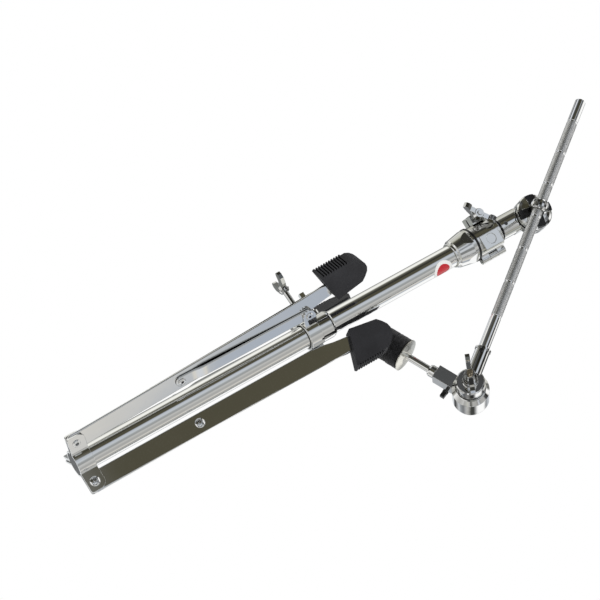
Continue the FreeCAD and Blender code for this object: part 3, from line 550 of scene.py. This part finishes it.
def flat_bar(outline, holes, y_range, edge, place, inner_points=(), bend=lambda z: 0.0):
    """Bar drawn in local x-z, thick along y, with quarter-round outer edges and round holes.

    Returns vertices, faces, and how many of the first faces are flat.
    """
    y_low, y_high = y_range
    angles = [math.pi / 2 * i / ROLL_STEPS for i in range(ROLL_STEPS + 1)]
    outlines = [inset_outline(outline, edge * (1 - math.sin(angle))) for angle in angles]
    rises = [edge * (1 - math.cos(angle)) for angle in angles]
    flat, triangles, index_of, hole_starts = triangulate(outlines[0], holes, inner_points)
    verts, faces = [], []

    def put(x, y, z):
        y += bend(z)
        verts.append(place @ Vector((x * MM, y * MM, z * MM)))
        return len(verts) - 1

    low = [put(point[0], y_low, point[1]) for point in flat]
    high = [put(point[0], y_high, point[1]) for point in flat]
    for triangle in triangles:
        faces.append(tuple(low[i] for i in triangle))
        faces.append(tuple(high[i] for i in triangle[::-1]))

    # edge rings run from the low face outward, then back in to the high face
    count = len(outline)
    levels = [(i, y_low + rises[i]) for i in range(1, ROLL_STEPS + 1)]
    levels += [(i, y_high - rises[i]) for i in range(ROLL_STEPS, 0, -1)]
    rings = [[low[index_of[i]] for i in range(count)]]
    rings += [[put(x, y, z) for x, z in outlines[level]] for level, y in levels]
    rings.append([high[index_of[i]] for i in range(count)])
    for ring, following in zip(rings, rings[1:]):
        for i in range(count):
            j = (i + 1) % count
            faces.append((ring[j], ring[i], following[i], following[j]))

    for start in hole_starts:
        for j in range(HOLE_SEGMENTS):
            p = index_of[start + j]
            q = index_of[start + (j + 1) % HOLE_SEGMENTS]
            faces.append((low[p], low[q], high[q], high[p]))
    return verts, faces, 2 * len(triangles)


def add_bar(prefix, node, bar):
    """Add a flat bar with its shading broken where flat faces meet the edges."""
    verts, faces, flat_count = bar
    piece = add_smooth(prefix + node, verts, faces, MATERIALS["strip"], sharp_angle=50.0)
    sides = {}
    for polygon in piece.data.polygons:
        for key in polygon.edge_keys:
            sides.setdefault(key, set()).add(polygon.index < flat_count)
    for edge in piece.data.edges:
        if len(sides[edge.key]) > 1:
            edge.use_edge_sharp = True
    piece.data.update()
    stand_in(piece, node)


def split_long(outline, longest):
    """Divide every outline side into parts no longer than a limit."""
    points = []
    for i, p in enumerate(outline):
        q = outline[(i + 1) % len(outline)]
        parts = max(1, int(math.ceil(math.hypot(q[0] - p[0], q[1] - p[1]) / longest)))
        for j in range(parts):
            points.append((p[0] + (q[0] - p[0]) * j / parts, p[1] + (q[1] - p[1]) * j / parts))
    return points


STRIP_HALF_WIDTH = 10.75
STRIP_HALF_THICK = 1.5
STRIP_TIP = 342.0
STRIP_HOLE_SPAN = 124.5
# x, z from the fold pivot, anticlockwise from the lower end
STRIP_OUTLINE = [
    (-STRIP_HALF_WIDTH + 3.0, -7.8), (STRIP_HALF_WIDTH - 3.0, -7.8),
    (STRIP_HALF_WIDTH - 0.8, -5.5), (STRIP_HALF_WIDTH, -2.0),
    (STRIP_HALF_WIDTH, 268.0), (STRIP_HALF_WIDTH + 1.0, 288.0),
    (STRIP_HALF_WIDTH + 2.4, 303.0), (STRIP_HALF_WIDTH + 1.2, 326.0),
    (6.0, STRIP_TIP), (1.0, STRIP_TIP), (-4.0, 318.0),
    (-STRIP_HALF_WIDTH + 4.6, 298.0), (-STRIP_HALF_WIDTH + 1.0, 282.0),
    (-STRIP_HALF_WIDTH, 268.0), (-STRIP_HALF_WIDTH, -2.0),
    (-STRIP_HALF_WIDTH + 0.8, -5.5),
]

STRUT_RADIUS = 6.3             # half width and end radius
STRUT_LENGTH = 156.5           # between the centres of the round ends
STRUT_LOW_FACE, STRUT_HIGH_FACE = 1.7, 4.1
STRUT_JOGGLE = 1.6             # sideways bend above the pivot end
STRUT_END_ZONE = 0.0030        # metres of CAD strut used to find its far end


def smooth_step(value):
    value = clamp(value)
    return value * value * (3 - 2 * value)


def joggle(z):
    """Sideways bend that rises soon after the pivot and fades toward the far end."""
    rise = smooth_step((z - 14.0) / 15.0)
    return STRUT_JOGGLE * rise * (1.0 - smooth_step((z - 34.0) / 112.0))


def strut_outline():
    radius = STRUT_RADIUS
    points = []
    for i in range(19):
        angle = math.pi + math.pi * i / 18
        points.append((radius * math.cos(angle), radius * math.sin(angle)))
    points += [(radius, z) for z in range(6, 152, 3)]
    for i in range(19):
        angle = math.pi * i / 18
        points.append((radius * math.cos(angle), STRUT_LENGTH + radius * math.sin(angle)))
    points += [(-radius, z) for z in range(150, 4, -3)]
    return points


def build_strip(leg, turn, splay):
    place = (Matrix.Translation(joint_place("leg_%s_fold" % leg)) @ turn
             @ Matrix.Rotation(math.radians(splay), 4, "Y"))
    add_bar("rolled_", "leg_strip_" + leg, flat_bar(
        split_long(STRIP_OUTLINE, 12.0),
        holes=[(0.0, 0.0, HOLE_RADIUS), (0.0, STRIP_HOLE_SPAN, HOLE_RADIUS)],
        y_range=(-STRIP_HALF_THICK, STRIP_HALF_THICK), edge=1.4, place=place))


def build_strut(leg, turn):
    node = "strut_" + leg
    pivot = joint_place("strut_%s_swing" % leg)
    # the lean comes from the far end of the CAD strut
    reach = STRUT_LENGTH * MM + STRUT_RADIUS * MM - STRUT_END_ZONE
    offsets = [turn.inverted() @ (vert.co - pivot) for vert in NODES[node].data.vertices]
    tips = [offset for offset in offsets if offset.length > reach]
    tip = sum(tips, Vector((0.0, 0.0, 0.0))) / len(tips)
    lean = math.atan2(tip.x, tip.z)
    add_bar("pressed_", node, flat_bar(
        strut_outline(),
        holes=[(0.0, 0.0, HOLE_RADIUS)],
        y_range=(STRUT_LOW_FACE, STRUT_HIGH_FACE), edge=1.0,
        place=Matrix.Translation(pivot) @ turn @ Matrix.Rotation(lean, 4, "Y"),
        inner_points=[(x, z) for z in range(9, 152, 3) for x in (-4.0, 0.0, 4.0)],
        bend=joggle))


for leg_name, leg_heading, leg_splay in LEGS:
    leg_turn = Matrix.Rotation(math.radians(leg_heading), 4, "Z")
    build_strip(leg_name, leg_turn, leg_splay)
    build_strut(leg_name, leg_turn)


# ------------------------------------------------------- cross head screws ---
HEAD_RADIUS = 0.0054
HEAD_HEIGHT = 0.0023
HEAD_RINGS = 40
CROSS_TURN = 0.5               # radians
CROSS_HALF_WIDTH = 0.00085
CROSS_DEPTH = 0.0016
AXIS_RADIUS = 0.00004          # pinhole left on the screw axis
PIVOT_HALF_LENGTH = 0.00365
PIVOT_TAIL = PIVOT_HALF_LENGTH - 0.0005
PIVOT_SHANK_RADIUS = 0.0020
SLEEVE_RADIUS = 0.0030
STRIP_FACE = STRIP_HALF_THICK * MM
STRUT_FACE = STRUT_HIGH_FACE * MM

# r, z along the fold axis, from under the head to the tail
PIVOT_SHANK = [
    (PIVOT_SHANK_RADIUS, -PIVOT_HALF_LENGTH), (PIVOT_SHANK_RADIUS, PIVOT_TAIL),
    (AXIS_RADIUS, PIVOT_TAIL),
]
# the sleeve ends in a chamfered collar with a recess
STRUT_SHANK = [
    (SLEEVE_RADIUS, -STRIP_FACE), (SLEEVE_RADIUS, STRUT_FACE + 0.00005),
    (0.0042, STRUT_FACE + 0.00005), (0.0042, STRUT_FACE + 0.0007),
    (0.0034, STRUT_FACE + 0.0013), (0.0016, STRUT_FACE + 0.0013),
    (0.0016, STRUT_FACE - 0.0006), (AXIS_RADIUS, STRUT_FACE - 0.0006),
]


def cross_recess(angle, i, r, z):
    if i > HEAD_RINGS or r > HEAD_RADIUS * 0.56:
        return r, z
    x = abs(r * math.cos(angle + CROSS_TURN))
    y = abs(r * math.sin(angle + CROSS_TURN))
    depth = clamp((CROSS_HALF_WIDTH - min(x, y)) / 0.00022)
    depth *= clamp((HEAD_RADIUS * 0.52 - max(x, y)) / 0.0003)
    return r, z + CROSS_DEPTH * depth


def cross_screw(joint, heading, head_face, shank):
    """Screw on a leg's fold axis, its domed head on the negative side of head_face."""
    turn = math.radians(heading)
    axis = Vector((-math.sin(turn), math.cos(turn), 0.0))
    profile = []
    for i in range(HEAD_RINGS + 1):
        r = AXIS_RADIUS + (HEAD_RADIUS - 0.0002) * i / HEAD_RINGS
        dome = HEAD_HEIGHT * (1.0 - 0.80 * (r / HEAD_RADIUS) ** 2.4)
        profile.append((r, -(head_face + dome)))
    profile += [(HEAD_RADIUS, -(head_face + 0.00035)), (HEAD_RADIUS, -head_face)]
    return lathe(profile + shank, joint_place(joint), axis, segments=144, nudge=cross_recess)


def add_screws(node, verts, faces):
    piece = add_smooth("crosshead_" + node, verts, faces, MATERIALS["chrome"], sharp_angle=40.0)
    stand_in(piece, node)


# one screw object per strut, then the three leg pivots as one object
pivot_verts, pivot_faces = [], []
for leg_name, leg_heading, _ in LEGS:
    add_screws("strut_screw_" + leg_name, *cross_screw(
        "strut_%s_swing" % leg_name, leg_heading, STRIP_FACE, STRUT_SHANK))
    screw_verts, screw_faces = cross_screw(
        "leg_%s_fold" % leg_name, leg_heading, PIVOT_HALF_LENGTH, PIVOT_SHANK)
    first = len(pivot_verts)
    pivot_verts += screw_verts
    pivot_faces += [tuple(i + first for i in face) for face in screw_faces]
add_screws("leg_pivot_screws", pivot_verts, pivot_faces)


# ------------------------------------------------------------- tube label ---
TUBE_RADIUS = 0.0127
LABEL_ANGLE = math.radians(CAMERA_HEADING + 53.0)
LABEL_HEIGHT = 0.4615          # z of its centre
LABEL_RADIUS = 0.0125
LABEL_RINGS, LABEL_SEGMENTS = 9, 56
LABEL_TOP, LABEL_UNDERSIDE = 0.00013, 0.00002  # above the tube


def label_material():
    """White spot with a red centre."""
    m = Material("spot_label")
    cosine, sine = math.cos(LABEL_ANGLE), math.sin(LABEL_ANGLE)
    centre = (TUBE_RADIUS * cosine, TUBE_RADIUS * sine, LABEL_HEIGHT)
    x, y = m.distances(centre, Vector((-sine, cosine, 0.0)), Vector((0, 0, 1)))
    # the factor on x narrows the red centre around the tube
    x_squared = m.math("MULTIPLY", m.math("MULTIPLY", x, 1.12), m.math("MULTIPLY", x, 1.12))
    squared = m.math("ADD", x_squared, m.math("MULTIPLY", y, y))
    grain = m.math("SUBTRACT", m.noise(scale=700.0, detail=3.0), 0.5)
    radius = m.math("ADD", m.math("SQRT", squared), m.math("MULTIPLY", grain, 0.0003))
    return m.shade({
        "Base Color": m.ramp(m.math("DIVIDE", radius, LABEL_RADIUS), [
            (0.0, linear((196, 34, 44))), (0.70, linear((190, 30, 42))),
            (0.73, linear((240, 238, 236))), (1.0, linear((232, 232, 230)))]),
        "Roughness": 0.32,
        "Normal": m.bump(m.noise(scale=900.0, detail=2.0), strength=0.1, distance=0.00005),
    })


def build_label():
    """Thin disc wrapped on the tube."""
    verts, faces = [], []
    for lift in (LABEL_TOP, LABEL_UNDERSIDE):
        for i in range(LABEL_RINGS + 1):
            ring = LABEL_RADIUS * i / LABEL_RINGS
            for s in range(LABEL_SEGMENTS):
                turn = 2 * math.pi * s / LABEL_SEGMENTS
                angle = LABEL_ANGLE + ring * math.cos(turn) / TUBE_RADIUS
                radius = TUBE_RADIUS + lift
                verts.append((radius * math.cos(angle), radius * math.sin(angle),
                              LABEL_HEIGHT + ring * math.sin(turn)))
    under = (LABEL_RINGS + 1) * LABEL_SEGMENTS
    for i in range(LABEL_RINGS):
        for s in range(LABEL_SEGMENTS):
            t = (s + 1) % LABEL_SEGMENTS
            inner, outer = i * LABEL_SEGMENTS, (i + 1) * LABEL_SEGMENTS
            quad = (inner + s, inner + t, outer + t, outer + s)
            faces.append(quad[::-1])
            faces.append(tuple(under + corner for corner in quad))
    rim = LABEL_RINGS * LABEL_SEGMENTS
    for s in range(LABEL_SEGMENTS):
        t = (s + 1) % LABEL_SEGMENTS
        faces.append((rim + t, rim + s, under + rim + s, under + rim + t))
    label = add_smooth("tube_spot_label", verts, faces, label_material(), sharp_angle=60.0)
    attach(label, "base")


build_label()

# ------------------------------------------------------------------ floor ---
FLOOR_SIZE = 12.0
FLOOR_Z = -0.032
FLOOR_CELLS = 14


def floor_material():
    """Pale floor, see-through from below, where the camera is."""
    m = Material("pale_floor")
    m.shade({
        "Base Color": m.grey_ramp(m.noise(scale=5.0, detail=3.0), (0.3, 0.80), (0.7, 0.84)),
        "Roughness": 0.7,
    })
    backfacing = m.node("ShaderNodeNewGeometry").outputs["Backfacing"]
    clear = m.node("ShaderNodeBsdfTransparent").outputs[0]
    m.feed(m.output.inputs[0], m.mix_shader(backfacing, m.principled.outputs[0], clear))
    return m.material


def build_floor():
    row = FLOOR_CELLS + 1
    verts = [((i / FLOOR_CELLS - 0.5) * FLOOR_SIZE, (j / FLOOR_CELLS - 0.5) * FLOOR_SIZE, FLOOR_Z)
             for j in range(row) for i in range(row)]
    faces = [(j * row + i, j * row + i + 1, (j + 1) * row + i + 1, (j + 1) * row + i)
             for j in range(FLOOR_CELLS) for i in range(FLOOR_CELLS)]
    mesh = bpy.data.meshes.new("studio_floor")
    mesh.from_pydata(verts, [], faces)
    mesh.update()
    floor = add_object("studio_floor", mesh, floor_material())
    floor.visible_glossy = False  # the plating sees the surround below the floor too


build_floor()

# ------------------------------------------------------------------ world ---
# degrees of heading from the camera's, sRGB of the surround at working height
COMPASS_BANDS = [
    (-180, (196, 200, 202)), (-158, (120, 121, 118)), (-148, (112, 113, 110)),
    (-140, (196, 196, 192)), (-120, (238, 238, 232)), (-104, (250, 250, 246)),
    (-93, (222, 222, 216)), (-84, (112, 111, 102)), (-68, (70, 69, 62)),
    (-54, (44, 44, 41)), (-46, (74, 72, 60)), (-24, (80, 77, 63)),
    (-20, (158, 163, 170)), (-12, (188, 194, 203)), (3, (190, 195, 200)),
    (11, (158, 162, 164)), (24, (152, 154, 154)), (33, (190, 190, 188)),
    (54, (166, 166, 164)), (68, (178, 178, 176)), (74, (206, 203, 197)),
    (83.5, (212, 209, 202)), (86, (166, 174, 186)), (93, (176, 183, 192)),
    (100, (250, 251, 252)), (136, (252, 252, 252)), (146, (128, 130, 132)),
    (156, (150, 154, 158)), (166, (236, 238, 240)), (180, (204, 208, 210)),
]
# degrees above the horizon, sRGB of the ring there
HEIGHT_RINGS = [
    (-90, (150, 150, 148)), (-62, (215, 215, 213)), (-50, (245, 245, 245)),
    (-38, (90, 89, 84)), (-30, (46, 46, 44)), (-22, (226, 228, 232)),
    (-8, (246, 247, 250)), (2, (206, 210, 216)), (40, (206, 210, 216)),
    (47, (34, 34, 33)), (53, (60, 58, 52)), (58, (250, 250, 248)),
    (74, (255, 255, 255)), (80, (120, 122, 124)), (90, (230, 230, 230)),
]
# first and last heading of each dark card, in degrees
DARK_CARDS = [
    (-176, -160), (-132, -112), (-86, -36), (-14, -4), (12, 30), (52, 66), (88, 98),
    (120, 140), (160, 170),
]
CARD_SOFTNESS = 1.5            # degrees either side of a card's edge
BAND_LEAN = 0.30               # change of heading per change of height
CARDS_PER_RAMP = 8             # a colour ramp holds 32 stops, four to a card


def heading_at(degrees):
    return 0.5 + degrees / 360.0


def height_at(degrees):
    return 0.5 + degrees / 180.0


def card_ramp(g, heading, cards, *extra):
    """White where a card stands, black elsewhere."""
    stops = []
    for start, end in cards:
        stops += [(start - CARD_SOFTNESS, 0), (start + CARD_SOFTNESS, 1),
                  (end - CARD_SOFTNESS, 1), (end + CARD_SOFTNESS, 0)]
    stops += extra
    return g.grey_ramp(heading, *[(heading_at(degrees), value) for degrees, value in stops])


def background(g, color, strength):
    node = g.node("ShaderNodeBackground")
    g.feed(node.inputs[0], color)
    g.feed(node.inputs[1], strength)
    return node.outputs[0]


def surround(g):
    """Studio colour seen in the plating, by compass heading and height."""
    direction = g.node("ShaderNodeSeparateXYZ")
    g.feed(direction.inputs[0], g.coords["Generated"])
    x, y, z = direction.outputs
    azimuth = g.math("ARCTAN2", y, x)
    turned = g.math("ADD", azimuth, math.radians(-CAMERA_HEADING))
    relative = g.math("MULTIPLY", turned, 1.0 / (2 * math.pi))
    elevation = g.math("ARCSINE", z)
    tilt = g.math("ABSOLUTE", elevation)  # the bands are mirrored below the horizon
    above = g.math("SUBTRACT", tilt, math.radians(CAMERA_TILT))
    lean = g.math("MULTIPLY", above, BAND_LEAN / (2 * math.pi))
    # 0.5 is the camera's heading; the extra whole turn keeps the value positive
    heading = g.math("FRACT", g.math("ADD", g.math("ADD", relative, lean), 1.5))
    height = g.math("ADD", g.math("DIVIDE", elevation, math.pi), 0.5)
    mirrored = g.math("ADD", g.math("DIVIDE", tilt, math.pi), 0.5)

    bands = g.ramp(heading, [(heading_at(deg), linear(rgb)) for deg, rgb in COMPASS_BANDS])
    rings = g.ramp(height, [(height_at(deg), linear(rgb)) for deg, rgb in HEIGHT_RINGS])
    # the compass bands rule around the working height; beyond it the rings rule
    band_share = g.grey_ramp(mirrored, (height_at(3), 0), (height_at(11), 1),
                             (height_at(33), 1), (height_at(38), 0))
    # dark cards stand among the rings, so cast pieces pick up contrast
    cards = card_ramp(g, heading, DARK_CARDS[:CARDS_PER_RAMP])
    last_card = card_ramp(g, heading, DARK_CARDS[CARDS_PER_RAMP:], (180, 0))
    card_height = g.grey_ramp(height, (height_at(-50), 0), (height_at(-44), 0.9),
                              (height_at(42), 0.9), (height_at(60), 0))
    card_share = g.math("MULTIPLY", g.math("MAXIMUM", cards, last_card), card_height)
    rings = g.mix(card_share, rings, linear((34, 34, 31)))
    return g.mix(band_share, rings, bands)


def build_world():
    """Reflections see the surround, the camera plain white, other rays a softer white."""
    world = bpy.data.worlds.new("studio")
    bpy.context.scene.world = world
    world.use_nodes = True
    g = Graph(world.node_tree)
    reflected = background(g, surround(g), strength=1.10)
    diffuse = background(g, (1, 1, 1, 1), strength=0.9)
    seen = background(g, (1, 1, 1, 1), strength=1.0)
    rays = g.node("ShaderNodeLightPath").outputs
    lighting = g.mix_shader(rays["Is Glossy Ray"], diffuse, reflected)
    whole = g.mix_shader(rays["Is Camera Ray"], lighting, seen)
    g.feed(g.node("ShaderNodeOutputWorld").inputs[0], whole)


build_world()


# ------------------------------------------------------- light and camera ---
def build_key_light():
    light = bpy.data.lights.new("soft_key", "AREA")
    light.shape = "DISK"
    light.size = 1.1
    light.energy = 16.0
    key = bpy.data.objects.new("soft_key", light)
    bpy.context.scene.collection.objects.link(key)
    key.location = (1.3, -1.9, 1.9)
    target = Vector((0, 0, 0.3))
    key.rotation_mode = "QUATERNION"
    key.rotation_quaternion = (key.location - target).to_track_quat("Z", "Y")
    key.visible_glossy = False


CAMERA_DISTANCE = 1.6
CAMERA_TARGET_Z = 0.29813
CAMERA_TARGET_SIDE = -0.03711            # along the level sideways axis
ROLL_ALONG, ROLL_ACROSS = 0.8795, 0.4759  # sine and cosine of the camera's roll


def build_camera():
    """Camera below the stand, looking up and rolled about its view line."""
    tilt = math.radians(CAMERA_TILT)
    heading = math.radians(CAMERA_HEADING)
    level = Vector((math.cos(heading), math.sin(heading), 0))
    side = Vector((-level.y, level.x, 0))
    upright = Vector((0, 0, 1))
    rise = upright * math.cos(tilt) + level * math.sin(tilt)
    backward = level * math.cos(tilt) - upright * math.sin(tilt)
    right = rise * ROLL_ALONG + side * ROLL_ACROSS
    up = rise * ROLL_ACROSS - side * ROLL_ALONG

    data = bpy.data.cameras.new("photo_camera")
    data.sensor_width = 36.0
    data.lens = 88.992
    data.clip_start = 0.05
    data.clip_end = 50.0
    camera = bpy.data.objects.new("photo_camera", data)
    bpy.context.scene.collection.objects.link(camera)
    place = upright * CAMERA_TARGET_Z + side * CAMERA_TARGET_SIDE + backward * CAMERA_DISTANCE
    rotation = Matrix((right, up, backward)).transposed().to_4x4()
    camera.matrix_world = Matrix.Translation(place) @ rotation
    bpy.context.scene.camera = camera


build_key_light()
build_camera()

view = bpy.context.scene.view_settings
view.view_transform = "Standard"
view.look = "None"
view.exposure = 0.0
